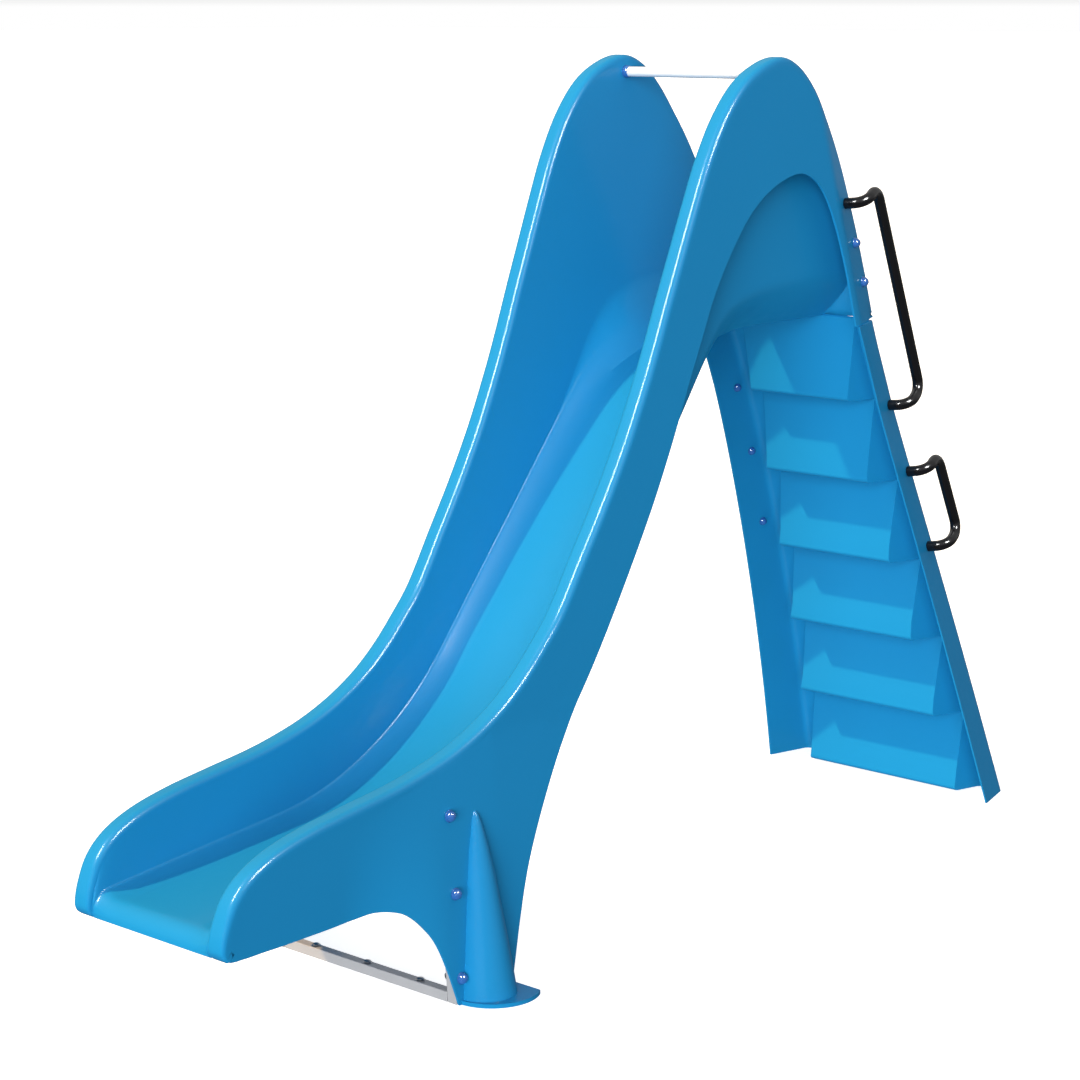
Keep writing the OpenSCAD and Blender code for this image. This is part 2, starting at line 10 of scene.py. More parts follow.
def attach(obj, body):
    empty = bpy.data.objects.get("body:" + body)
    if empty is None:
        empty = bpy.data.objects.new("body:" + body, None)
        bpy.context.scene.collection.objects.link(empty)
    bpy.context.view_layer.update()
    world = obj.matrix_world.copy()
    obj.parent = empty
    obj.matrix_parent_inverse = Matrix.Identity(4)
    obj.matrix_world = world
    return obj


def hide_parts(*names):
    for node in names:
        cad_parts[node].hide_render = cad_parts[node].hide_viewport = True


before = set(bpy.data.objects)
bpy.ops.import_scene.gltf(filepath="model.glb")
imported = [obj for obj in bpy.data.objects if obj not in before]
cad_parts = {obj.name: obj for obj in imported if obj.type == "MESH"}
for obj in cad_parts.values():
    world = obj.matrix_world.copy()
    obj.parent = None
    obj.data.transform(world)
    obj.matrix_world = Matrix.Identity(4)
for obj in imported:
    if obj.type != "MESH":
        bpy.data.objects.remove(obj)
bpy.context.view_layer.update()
BODY = "root"
MM = 0.001

# ------------------------------------------------------------------ camera
CAMERA_PLACE = (4.18476, -4.96404, 2.23781)
CAMERA_PITCH = 11.461
CAMERA_TURN = 41.175
CAMERA_LENS = 87.66

camera = bpy.data.objects.new("camera", bpy.data.cameras.new("camera"))
camera.location = CAMERA_PLACE
camera.rotation_euler = (math.radians(90 - CAMERA_PITCH), 0, math.radians(CAMERA_TURN))
camera.data.lens = CAMERA_LENS
camera.data.sensor_width = 36
camera.data.clip_end = 500
bpy.context.scene.collection.objects.link(camera)
bpy.context.scene.camera = camera

# ------------------------------------------------------------------ dimensions, millimetres
FLUME_WALL = 6
RIM_HALF = 214
BED_HALF = 150
RIM_RADIUS = 17
LIP_DEPTH = 24
SKIN_WALL = 6
FOOT_FLARE = 66
REAR_BEND = 0.28
BEND_BLEND = 15
WALL_HALF = 27
WALL_SPREAD = 0.018
WALL_FOOT = 187
LIP_SLOPE = 96
CHUTE_SLOPE = 50
RUN_OUT_SLOPE = 5.3
LIP_RADIUS = 42
DIP_RADIUS = 850
CREST_RADIUS = 540
BED_START = (-1456.8, 268.6, LIP_SLOPE)
# [length, turn in degrees] from the lip up to the platform's rear
BED_PIECES = [(LIP_RADIUS * math.radians(LIP_SLOPE - RUN_OUT_SLOPE), RUN_OUT_SLOPE - LIP_SLOPE),
              (521, 0),
              (DIP_RADIUS * math.radians(CHUTE_SLOPE - RUN_OUT_SLOPE), CHUTE_SLOPE - RUN_OUT_SLOPE),
              (741.6, 0),
              (CREST_RADIUS * math.radians(CHUTE_SLOPE), -CHUTE_SLOPE),
              (340, 0)]
# bed distance, rim y, rim z, skin edge y, skin edge z, corner in the skin edge
STATIONS = np.array([
    [0, -1453, 267, -1449, 268, 0], [4, -1465, 278, -1432, 266, 0],
    [10, -1470, 298, -1420, 266, 0], [21, -1461, 341, -1395, 265, 0],
    [38, -1434, 398, -1355, 265, 0], [67, -1384, 443, -1310, 264, 0],
    [140, -1305, 477, -1240, 264, 0], [250, -1200, 501, -1160, 264, 0],
    [370, -1080, 518, -1085, 266, 0], [490, -956, 534, -1020, 267, 0],
    [610, -860, 552, -948, 246, 0], [730, -765, 577, -896, 200, 0],
    [850, -675, 612, -857, 137, 0], [970, -592, 657, -809, 0, 1],
    [1090, -520, 711, -629, 0, 1], [1210, -455, 774, -584, 165, 0],
    [1340, -393, 843, -530, 305, 0], [1490, -316, 962, -426, 485, 0],
    [1640, -240, 1079, -287, 675, 0], [1790, -165, 1208, -184, 835, 0],
    [1940, -100, 1340, -71, 1030, 0], [2050, -57, 1438, 8, 1190, 0],
    [2140, -12, 1549, 66, 1325, 0], [2220, 35, 1661, 115, 1435, 0],
    [2290, 80, 1768, 165, 1545, 0], [2355, 126, 1871, 232, 1650, 0],
    [2415, 186, 1972, 310, 1740, 0], [2470, 262, 2054, 403, 1799, 0],
    [2520, 350, 2101, 505, 1825, 0], [2570, 432, 2116, 580, 1801, 0],
    [2615, 505, 2090, 632, 1750, 0], [2655, 570, 2035, 676, 1678, 0],
    [2690, 625, 1968, 711, 1605, 0], [2720, 676, 1901, 740, 1535, 0],
    [2745, 722, 1829, 764, 1465, 0], [2765, 765, 1749, 784, 1411, 1],
    [2780, 811, 1657, 825, 1416, 0], [2792, 858, 1549, 865, 1421, 0],
    [2803, 900, 1440, 905, 1426, 0]], dtype=float)
LAST = len(STATIONS) - 1


def walk(pose, piece, d):
    y, z, h = pose
    length, turn = piece
    if turn == 0:
        return (y + d * math.cos(math.radians(h)), z + d * math.sin(math.radians(h)), h)
    r = length / math.radians(turn)
    a = h + turn * d / length
    return (y + r * (math.sin(math.radians(a)) - math.sin(math.radians(h))),
            z - r * (math.cos(math.radians(a)) - math.cos(math.radians(h))), a)


def along(s):
    pose = BED_START
    for i, piece in enumerate(BED_PIECES):
        if i == len(BED_PIECES) - 1 or s <= piece[0]:
            return walk(pose, piece, s)
        pose = walk(pose, piece, piece[0])
        s -= piece[0]


def knot(k, a, b):
    k = max(0, min(LAST, k))
    return STATIONS[k, [a, b]]


def tangent(k, side, a, b, corners):
    if corners and STATIONS[k, 5] == 1:
        return knot(k + 1, a, b) - knot(k, a, b) if side > 0 else knot(k, a, b) - knot(k - 1, a, b)
    if k <= 0:
        return knot(1, a, b) - knot(0, a, b)
    if k >= LAST:
        return knot(k, a, b) - knot(k - 1, a, b)
    return (knot(k + 1, a, b) - knot(k - 1, a, b)) / 2


def curve(t, a, b, corners=False):
    k = min(int(math.floor(t)), LAST - 1)
    u = t - k
    start, end = tangent(k, 1, a, b, corners), tangent(k + 1, -1, a, b, corners)
    return ((2 * u**3 - 3 * u**2 + 1) * knot(k, a, b) + (u**3 - 2 * u**2 + u) * start
            + (3 * u**2 - 2 * u**3) * knot(k + 1, a, b) + (u**3 - u**2) * end)


def unit(v):
    return np.asarray(v, float) / np.linalg.norm(v)


def blend(a, b, x):
    u = max(0.0, min(1.0, (x - a) / (b - a)))
    return u * u * (3 - 2 * u)


def bed(t):
    y, z, h = along(curve(t, 0, 0)[0])
    return np.array([y, z]), math.radians(h)


def rim(t):
    return curve(t, 1, 2)


def rim_out(t):
    d = unit(curve(min(t + 0.05, LAST), 1, 2) - curve(max(t - 0.05, 0), 1, 2))
    return np.array([-d[1], d[0]])


def skin_edge(t):
    e = curve(t, 3, 4, True)
    return np.array([e[0], max(0.0, e[1])])


def bend_line(z):
    return 1326 - 0.37 * z


def front_line(z):
    return 1326 - 0.312 * z - 5.2e-5 * z * z


def rear_line(z):
    return 1475 - 0.3415 * z - 5e-5 * z * z


def past(d):
    if d < -BEND_BLEND:
        return 0.0
    return d if d > BEND_BLEND else (d + BEND_BLEND) ** 2 / (4 * BEND_BLEND)


def flare(y, z):
    top = min(600, 792 + 0.3 * y)
    if z >= top:
        return 0.0
    return FOOT_FLARE * blend(-1120, -820, y) * (1 - (max(0.0, z) / top) ** 1.2)


def skin_x(y, z):
    return RIM_HALF + WALL_HALF + WALL_SPREAD * z + flare(y, z) - REAR_BEND * past(y - bend_line(z))


def rim_inner(z):
    return RIM_HALF - WALL_HALF + WALL_SPREAD * z


def crease_x(t):
    s = curve(t, 0, 0)[0]
    return BED_HALF - 8 * blend(650, 950, s) - 67 * blend(1990, 2320, s)


def soft(t):
    return blend(1890, 2390, curve(t, 0, 0)[0])


def radius_at(t):
    z = rim(t)[1]
    w = skin_x(rim(t)[0], z) - rim_inner(z)
    return min(RIM_RADIUS, w * 0.32, 8 + 9 * blend(0, 5, t))


ARC = 8
WALL = 7
COVE = 12
FLAT = 4


def half_section(t, inside):
    """Half of the flume's section at station t, from the outer lip to the middle of the bed."""
    b, h = bed(t)
    up_b = np.array([-math.sin(h), math.cos(h)])
    r_c, up_r, r = rim(t), rim_out(t), radius_at(t)
    e = FLUME_WALL if inside else 0
    up_w = unit(r_c - b)
    xi = rim_inner(r_c[1])
    wall_foot = WALL_FOOT + 8 * soft(t)
    reach = np.linalg.norm(r_c - b) - r
    slope_h = min((wall_foot - crease_x(t)) * (0.35 + 0.37 * soft(t)), max(1, 0.45 * reach))
    top_h = slope_h + min(5 + 52 * soft(t), max(0.8, 0.35 * reach))
    mix_k = 0.3 + 0.7 * soft(t)
    c0, c1, c2 = np.array([crease_x(t), 0]), np.array([wall_foot, slope_h]), np.array([wall_foot, top_h])
    q0 = c1 + mix_k * (c0 - c1)
    lip_q = r_c - LIP_DEPTH * up_r
    pts = [(skin_x(*lip_q) - e, lip_q[0], lip_q[1])]
    for i in range(ARC + 1):
        a = math.pi / 2 * i / ARC
        q = r_c + up_r * ((r - e) * math.sin(a) - r)
        pts.append((skin_x(*q) - r + (r - e) * math.cos(a), q[0], q[1]))
    for i in range(ARC + 1):
        a = math.pi / 2 + math.pi / 2 * i / ARC
        q = r_c + up_r * ((r - e) * math.sin(a) - r)
        pts.append((xi + r + (r - e) * math.cos(a), q[0], q[1]))
    n_c = unit([c1[1] - c0[1], -(c1[0] - c0[0])])
    cove = []
    for i in range(COVE + 1):
        u = 1 - i / COVE
        q = (1 - u) ** 2 * q0 + 2 * u * (1 - u) * c1 + u**2 * c2
        d = (1 - u) * (c1 - q0) + u * (c2 - c1)
        n = unit([d[1], -d[0]]) if np.linalg.norm(d) > 0.01 else n_c
        w = q + e * n
        p = b + (up_w if w[1] > 0 else up_b) * w[1]
        cove.append((w[0], p[0], p[1]))
    top, foot = np.array(pts[-1]), np.array(cove[0])
    for i in range(1, WALL):
        pts.append(tuple(top + (foot - top) * i / WALL))
    pts += cove
    half_n = unit(n_c + np.array([0, -1]))
    w0 = c0 + e * half_n / half_n.dot(n_c)
    p0 = b + up_b * w0[1]
    edge = np.array([w0[0], p0[0], p0[1]])
    pm = b - up_b * e
    middle = np.array([0, pm[0], pm[1]])
    for i in range(FLAT + 1):
        pts.append(tuple(edge + (middle - edge) * i / FLAT))
    return pts


def both_halves(h):
    return h + [(-x, y, z) for x, y, z in reversed(h[:-1])]


def ring(t):
    return both_halves(half_section(t, False)) + list(reversed(both_halves(half_section(t, True))))


# ------------------------------------------------------------------ mesh helpers
def new_object(name, mesh, sharp=35, smooth=True):
    for p in mesh.polygons:
        p.use_smooth = smooth
    if smooth and sharp:
        mesh.set_sharp_from_angle(angle=math.radians(sharp))
    obj = bpy.data.objects.new(name, mesh)
    bpy.context.scene.collection.objects.link(obj)
    return obj


def loft(rings):
    """Vertices and faces between successive closed rings; the caps are strips across the wall."""
    m, n = len(rings), len(rings[0])
    verts = [tuple(c * MM for c in p) for r in rings for p in r]
    faces = [(j * n + i, j * n + (i + 1) % n, (j + 1) * n + (i + 1) % n, (j + 1) * n + i)
             for j in range(m - 1) for i in range(n)]
    half = n // 2
    for base, flip in ((0, False), ((m - 1) * n, True)):
        for i in range(half - 1):
            f = [i, n - 1 - i, n - 2 - i, i + 1]
            faces.append(tuple(base + c for c in (reversed(f) if flip else f)))
    return verts, faces


def mesh_from(name, parts):
    """One mesh from several (vertices, faces) lists."""
    verts, faces = [], []
    for v, f in parts:
        off = len(verts)
        verts += v
        faces += [tuple(i + off for i in q) for q in f]
    mesh = bpy.data.meshes.new(name)
    mesh.from_pydata(verts, [], faces)
    bm = bmesh.new()
    bm.from_mesh(mesh)
    bmesh.ops.remove_doubles(bm, verts=bm.verts, dist=1e-6)
    bmesh.ops.recalc_face_normals(bm, faces=bm.faces)
    bm.to_mesh(mesh)
    bm.free()
    return mesh


def moved(part, matrix):
    v, f = part
    return [tuple(matrix @ Vector(p)) for p in v], f


def flipped(part):
    v, f = part
    return [(-x, y, z) for x, y, z in v], [tuple(reversed(q)) for q in f]


def bevel(obj, width, segments=3, angle=40):
    mod = obj.modifiers.new("edges", "BEVEL")
    mod.width = width * MM
    mod.segments = segments
    mod.limit_method = "ANGLE"
    mod.angle_limit = math.radians(angle)
    mod.harden_normals = True


def lathe(profile, steps=48):
    """Solid turned about +X from (x, radius) points that end on the axis or close on themselves."""
    n = len(profile)
    verts = [(x * MM, r * math.cos(2 * math.pi * j / steps) * MM, r * math.sin(2 * math.pi * j / steps) * MM)
             for j in range(steps) for x, r in profile]
    faces = [(j * n + i, j * n + i + 1, ((j + 1) % steps) * n + i + 1, ((j + 1) % steps) * n + i)
             for j in range(steps) for i in range(n - 1)]
    return verts, faces


def dome_profile(d, h, flange=3.0, steps=10):
    base = d / 2 - 1.5
    rise = h - flange
    ball = (base * base + rise * rise) / (2 * rise)
    top = math.asin(min(1.0, base / ball))
    pts = [(0, 0), (0, d / 2 - 0.6), (0.6, d / 2), (flange - 0.8, d / 2), (flange - 0.2, d / 2 - 0.5),
           (flange, base)]
    for i in range(1, steps + 1):
        a = top * (1 - i / steps)
        pts.append((h - ball + ball * math.cos(a), ball * math.sin(a)))
    return pts


def at(x, y, z):
    return Matrix.Translation(Vector((x * MM, y * MM, z * MM)))


def finish_piece(obj, material, slot, *nodes):
    obj.data.materials.clear()
    obj.data.materials.append(material)
    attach(obj, BODY)
    if nodes:
        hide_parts(*nodes)
    return obj


# ------------------------------------------------------------------ materials
def material(name, colour, roughness, coat=0.0, coat_roughness=0.03, metallic=0.0, specular=0.5,
             mottle=0.03, mottle_scale=4.0, bump=0.0, bump_scale=60.0, wear=0.0):
    """Procedural finish: base colour with faint mottling, roughness variation and a fine surface relief."""
    mat = bpy.data.materials.new(name)
    mat.use_nodes = True
    nodes, links = mat.node_tree.nodes, mat.node_tree.links
    shader = nodes["Principled BSDF"]
    place = nodes.new("ShaderNodeTexCoord")
    broad = nodes.new("ShaderNodeTexNoise")
    broad.inputs["Scale"].default_value = mottle_scale
    broad.inputs["Detail"].default_value = 3
    links.new(place.outputs["Object"], broad.inputs["Vector"])
    ramp = nodes.new("ShaderNodeMapRange")
    ramp.inputs["From Min"].default_value = 0.3
    ramp.inputs["From Max"].default_value = 0.7
    ramp.inputs["To Min"].default_value = 1 - mottle
    ramp.inputs["To Max"].default_value = 1 + mottle
    links.new(broad.outputs["Fac"], ramp.inputs["Value"])
    tint = nodes.new("ShaderNodeHueSaturation")
    tint.inputs["Color"].default_value = (*colour, 1)
    links.new(ramp.outputs["Result"], tint.inputs["Value"])
    links.new(tint.outputs["Color"], shader.inputs["Base Color"])
    fine = nodes.new("ShaderNodeTexNoise")
    fine.inputs["Scale"].default_value = bump_scale
    fine.inputs["Detail"].default_value = 4
    links.new(place.outputs["Object"], fine.inputs["Vector"])
    rough = nodes.new("ShaderNodeMapRange")
    rough.inputs["To Min"].default_value = roughness * 0.85
    rough.inputs["To Max"].default_value = roughness * 1.15 + wear
    links.new(fine.outputs["Fac"], rough.inputs["Value"])
    links.new(rough.outputs["Result"], shader.inputs["Roughness"])
    if bump:
        relief = nodes.new("ShaderNodeBump")
        relief.inputs["Strength"].default_value = bump
        relief.inputs["Distance"].default_value = 0.0005
        links.new(fine.outputs["Fac"], relief.inputs["Height"])
        links.new(relief.outputs["Normal"], shader.inputs["Normal"])
    shader.inputs["Metallic"].default_value = metallic
    shader.inputs["Specular IOR Level"].default_value = specular
    shader.inputs["Coat Weight"].default_value = coat
    shader.inputs["Coat Roughness"].default_value = coat_roughness
    return mat


gel_coat = material("gel_coat", (0.010, 0.225, 0.50), 0.42, coat=0.2, coat_roughness=0.16, mottle=0.01,
                    bump=0.003, bump_scale=25, specular=0.05)
nut_blue = material("nut_blue", (0.025, 0.12, 0.40), 0.2, coat=0.8, coat_roughness=0.05, mottle=0.03,
                    mottle_scale=30)
rail_black = material("rail_black", (0.004, 0.004, 0.005), 0.2, coat=0.3, coat_roughness=0.1, mottle=0.05,
                      mottle_scale=20, bump=0.01, bump_scale=120, specular=0.3)
bar_white = material("bar_white", (0.78, 0.8, 0.84), 0.18, coat=0.8, coat_roughness=0.04, mottle=0.015)
frame_grey = material("frame_grey", (0.42, 0.42, 0.45), 0.38, coat=0.25, coat_roughness=0.15, mottle=0.04,
                      mottle_scale=12, bump=0.1, bump_scale=300)
steel = material("steel", (0.55, 0.55, 0.56), 0.3, metallic=1.0, mottle=0.05, mottle_scale=40, bump=0.05,
                 bump_scale=400)

# ------------------------------------------------------------------ flume
SUB = 6
ts = [k + i / SUB for k in range(LAST) for i in range(SUB)] + [LAST]
flume_mesh = mesh_from("flume_shell", [loft([ring(t) for t in ts])])
flume = new_object("flume_shell", flume_mesh, sharp=28)
finish_piece(flume, gel_coat, "gel_coat", "flume")

# ------------------------------------------------------------------ side skins
COLUMNS = 26
PILASTER_Y = -721
PILASTER_SHIFT = 0.02
PILASTER_H = 436
# height, radius
PILASTER = np.array([[0, 76], [135, 60], [288, 39], [349, 28],
                     [406, 15.2], [425, 9], [433, 4], [436, 0.5]], dtype=float)
FLANGE = dict(x=300, y=-690, r=113, cut=-632, h=10)


def skin_row(t, e):
    r = rim(t) - LIP_DEPTH * rim_out(t)
    s = skin_edge(t)
    row = []
    for j in range(COLUMNS + 1):
        q = r + (s - r) * j / COLUMNS
        row.append((skin_x(*q) - e, q[0], q[1]))
    return row


def skin_ring(t):
    return list(reversed(skin_row(t, 0))) + skin_row(t, SKIN_WALL)


def pilaster(steps=48, rows=60):
    """Half ogive that grows out of the skin toward the ground."""
    x0 = skin_x(PILASTER_Y, 0) - 1
    lean = (skin_x(PILASTER_Y, 0) - skin_x(PILASTER_Y, PILASTER_H)) / PILASTER_H
    verts = []
    for j in range(rows + 1):
        z = PILASTER_H * (1 - (1 - j / rows) ** 1.5)
        r = np.interp(z, PILASTER[:, 0], PILASTER[:, 1])
        for i in range(steps + 1):
            a = -math.pi / 2 + math.pi * i / steps
            verts.append(((x0 - lean * z + r * math.cos(a)) * MM,
                          (PILASTER_Y + PILASTER_SHIFT * z + r * math.sin(a)) * MM, z * MM))
    n = steps + 1
    faces = [(j * n + i, j * n + i + 1, (j + 1) * n + i + 1, (j + 1) * n + i)
             for j in range(rows) for i in range(steps)]
    return verts, faces + [tuple(rows * n + i for i in range(n))]


def foot_flange(steps=64):
    """Flat half-round foot, cut straight behind."""
    cx, cy, r, cut = (FLANGE[k] for k in ("x", "y", "r", "cut"))
    face = skin_x(cy, 0) - 3
    arc = []
    for i in range(steps + 1):
        a = -math.pi / 2 + math.pi * i / steps * 1.3 - 0.35
        x, y = cx + r * math.cos(a), cy + r * math.sin(a)
        if x >= face and y <= cut:
            arc.append((x, y))
    front = (face, cy - math.sqrt(r ** 2 - (face - cx) ** 2))
    rear = (cx + math.sqrt(r ** 2 - (cut - cy) ** 2), cut)
    outline = [front] + arc + [rear, (face, cut)]
    n = len(outline)
    verts = [(x * MM, y * MM, z * MM) for z in (0, FLANGE["h"]) for x, y in outline]
    faces = [tuple(range(n - 1, -1, -1)), tuple(range(n, 2 * n))]
    faces += [(i, (i + 1) % n, n + (i + 1) % n, n + i) for i in range(n)]
    return verts, faces


skin_parts = [loft([skin_ring(t) for t in ts]), pilaster(), foot_flange()]
for side, name in ((1, "right"), (-1, "left")):
    parts = skin_parts if side > 0 else [flipped(p) for p in skin_parts]
    skin = new_object("side_skin_%s_shell" % name, mesh_from("side_skin_%s_shell" % name, parts), sharp=30)
    bevel(skin, 1.6, 3, 50)
    finish_piece(skin, gel_coat, "gel_coat", "side_skin_" + name)

# ------------------------------------------------------------------ ladder
STEPS = 6
RISE = 236.84
RUN = 91.4
TOP_STEP = 1188.2
LADDER_WALL = 5
TREAD_RADIUS = 12
LADDER_TOP = 1411
TOP_RISE = 7
END_TAPER = 30
PLATE_BEND = 0.26


def plate_x(y, z):
    return RIM_HALF + 63 + 107 * max(0.0, 1 - z / 1200) ** 1.3 - PLATE_BEND * (y - front_line(z))


def panel_y(z):
    return rear_line(z) - 6


def step_z(k):
    return TOP_STEP - (k - 1) * RISE


def step_y(k):
    return 900 + (k - 1) * RUN


def pocket_half(z):
    return plate_x(rear_line(z), z) - 88


def pocket_rows(k):
    """Rows of one pocket from top to bottom: profile y, profile z, share of the way down the panel."""
    zt = LADDER_TOP if k == 1 else step_z(k - 1)
    zb = step_z(k)
    top, edge, back = (np.array(p, float) for p in ((panel_y(zt), zt), (step_y(k), zb), (panel_y(zb), zb)))
    lean, flat = unit(top - edge), unit(back - edge)
    half_a = math.acos(lean.dot(flat)) / 2
    run = TREAD_RADIUS / math.tan(half_a)
    centre = edge + TREAD_RADIUS / math.sin(half_a) * unit(lean + flat)
    a0, a1 = edge + run * lean, edge + run * flat
    w0, w1 = a0 - centre, a1 - centre
    turn = math.pi - 2 * half_a
    rows = []
    for i in range(6):
        u = i / 6
        q = top + (a0 - top) * u
        rows.append((q[0], q[1], 0.86 * u))
    for i in range(9):
        a = turn * i / 8
        q = centre + (math.sin(turn - a) * w0 + math.sin(a) * w1) / math.sin(turn)
        rows.append((q[0], q[1], 0.86 + 0.11 * i / 8))
    for i in range(1, 4):
        u = i / 4
        q = a1 + (back - a1) * u
        rows.append((q[0], q[1], 0.97 + 0.03 * u))
    return [(y, max(0.0, z), zt * (1 - s) + max(0.0, zb) * s) for y, z, s in rows]


def ladder_points(row):
    """Front points of one row with their shifts to the climbing side, from a side plate to the middle."""
    ry, rz, z = row
    y, w = panel_y(z), LADDER_WALL
    deep = max(0.0, panel_y(rz) - ry)
    pz = pocket_half(z) + END_TAPER
    px = pocket_half(rz) + END_TAPER - END_TAPER * min(1, deep / 100)
    yf, yc = front_line(z), y - 18
    out = []
    for i in range(7):
        yy = yf + (yc - yf) * i / 6
        out.append(((plate_x(yy, z) - w, yy, z), (w, 0.25 * w * (i == 6), 0)))
    a = np.array((plate_x(yc, z) - w, yc))
    b = np.array((plate_x(y, z) - w + 0.5, y))
    c = np.array((plate_x(y, z) - w - 18, y))
    for i in range(1, 7):
        u = i / 6
        q = (1 - u) ** 2 * a + 2 * u * (1 - u) * b + u**2 * c
        n = (w * (1 - 0.8 * u), w * (0.25 + 0.75 * min(1, 1.5 * u)))
        out.append(((q[0], q[1], z), (n[0], n[1], 0)))
    out.append(((pz + 3, y, z), (-0.2 * w, w, 0)))
    out.append(((pz, y, z), (-0.4 * w, w, 0)))
    up = w * 0.9 if rz > 1 else 0
    out.append(((px, ry, rz), (-w, w, up)))
    out.append(((px - 4, ry, rz), (-0.6 * w, w, up)))
    for i in range(1, 4):
        out.append((((px - 4) * (1 - i / 3), ry, rz), (0, w, up)))
    return out


def lifted(p):
    """The ladder's top edge rises toward the climbing side."""
    near_top = max(0.0, 1 - (LADDER_TOP - p[2]) / 60)
    return (p[0], p[1], p[2] + TOP_RISE * near_top * max(0.0, min(1.0, (p[1] - front_line(p[2])) / 90)))


def ladder_ring(row):
    pts = [(lifted(q), d) for q, d in ladder_points(row)]
    front = [q[0] for q in pts]
    rear = [tuple(a + b for a, b in zip(*q)) for q in pts]
    return both_halves(rear) + list(reversed(both_halves(front)))


rows = [r for k in range(1, STEPS + 1) for r in pocket_rows(k)] + [(panel_y(0), 0, 0)]
ladder_mesh = mesh_from("ladder_moulding", [loft([ladder_ring(r) for r in rows])])
ladder = new_object("ladder_moulding", ladder_mesh, sharp=32)
bevel(ladder, 1.5, 3, 55)
finish_piece(ladder, gel_coat, "gel_coat", "ladder")

# ------------------------------------------------------------------ handrails
RAIL_D = 29
RAIL_BEND = 35
LEG_REACH = 60
RAIL_STAND = 86
LEG_START = 1.6
UPPER_LEG = (722, 1737.5)
PLATE_LEGS = [(957, 1182.5), (1042, 990), (1127, 770)]
PLATE_TURN = math.atan(PLATE_BEND)


def on_skin_point(n):
    return Vector((skin_x(*n), n[0], n[1]))


def on_plate_point(n):
    return Vector((plate_x(*n), n[0], n[1]))


ENDS = {"upper": (on_skin_point(UPPER_LEG), on_plate_point(PLATE_LEGS[0])),
        "lower": (on_plate_point(PLATE_LEGS[1]), on_plate_point(PLATE_LEGS[2]))}


def rail_frame(ends):
    z = (ends[0] - ends[1]).normalized()
    out = Vector((math.cos(PLATE_TURN), math.sin(PLATE_TURN), 0))
    x = (out - out.dot(z) * z).normalized()
    y = z.cross(x)
    p = ends[0] * MM
    return Matrix([(x[i], y[i], z[i], p[i]) for i in range(3)] + [(0, 0, 0, 1)])


def rounded_path(corners, radius, steps=14):
    pts = [Vector(corners[0])]
    for a, b, c in zip(corners, corners[1:], corners[2:]):
        a, b, c = Vector(a), Vector(b), Vector(c)
        d, e = (b - a).normalized(), (c - b).normalized()
        start = b - d * radius
        centre = start + e * radius
        for i in range(steps + 1):
            ang = math.pi / 2 * i / steps
            pts.append(centre - e * radius * math.cos(ang) + d * radius * math.sin(ang))
    pts.append(Vector(corners[-1]))
    return pts


def tube(points, radius, steps=36, chamfer=1.2):
    """Solid round bar swept along points with a small chamfer on both cut ends."""
    dirs = []
    for i in range(len(points)):
        a, b = points[max(0, i - 1)], points[min(len(points) - 1, i + 1)]
        dirs.append((b - a).normalized())
    side = dirs[0].orthogonal().normalized()
    rings = []
    for p, d in zip(points, dirs):
        side = (side - side.dot(d) * d).normalized()
        up = d.cross(side)
        rings.append((p, side.copy(), up, d))
    first, last = rings[0], rings[-1]
    stack = [(first[0], first, 0), (first[0], first, radius - chamfer),
             (first[0] + first[3] * chamfer, first, radius)]
    stack += [(r[0], r, radius) for r in rings[1:-1]]
    stack += [(last[0] - last[3] * chamfer, last, radius), (last[0], last, radius - chamfer),
              (last[0], last, 0)]
    verts, faces = [], []
    for p, r, rad in stack:
        for j in range(steps):
            a = 2 * math.pi * j / steps
            q = p + (r[1] * math.cos(a) + r[2] * math.sin(a)) * rad
            verts.append(tuple(q * MM))
    for i in range(len(stack) - 1):
        for j in range(steps):
            k = (j + 1) % steps
            faces.append((i * steps + j, i * steps + k, (i + 1) * steps + k, (i + 1) * steps + j))
    return verts, faces


for level, ends in ENDS.items():
    long = (ends[0] - ends[1]).length
    corners = [(LEG_START, 0, 0), (LEG_REACH, 0, 0), (LEG_REACH, RAIL_STAND, 0),
               (LEG_REACH, RAIL_STAND, -long), (LEG_REACH, 0, -long), (LEG_START, 0, -long)]
    bar = moved(tube(rounded_path(corners, RAIL_BEND), RAIL_D / 2), rail_frame(ends))
    for side, name in ((1, "right"), (-1, "left")):
        part = bar if side > 0 else flipped(bar)
        rail = new_object("handrail_%s_%s_bar" % (level, name), mesh_from("rail", [part]), sharp=40)
        finish_piece(rail, rail_black, "rail_black", "handrail_%s_%s" % (level, name))


# ------------------------------------------------------------------ small round pieces
def scatter(name, part, places, mat, slot, nodes, sharp=38):
    """One piece holding a copy of part at every place on the right side and its mirror on the left."""
    parts = []
    for m in places:
        one = moved(part, m)
        parts += [one, flipped(one)]
    return finish_piece(new_object(name, mesh_from(name, parts), sharp=sharp), mat, slot, *nodes)


def skin_place(n, off=0.0):
    turn = math.atan(REAR_BEND) if n[0] > bend_line(n[1]) else 0
    tilt = math.atan((skin_x(n[0], n[1] - 5) - skin_x(n[0], n[1] + 5)) / 10)
    return (at(skin_x(*n), n[0], n[1]) @ Matrix.Rotation(turn, 4, "Z") @ Matrix.Rotation(-tilt, 4, "Y")
            @ at(off, 0, 0))


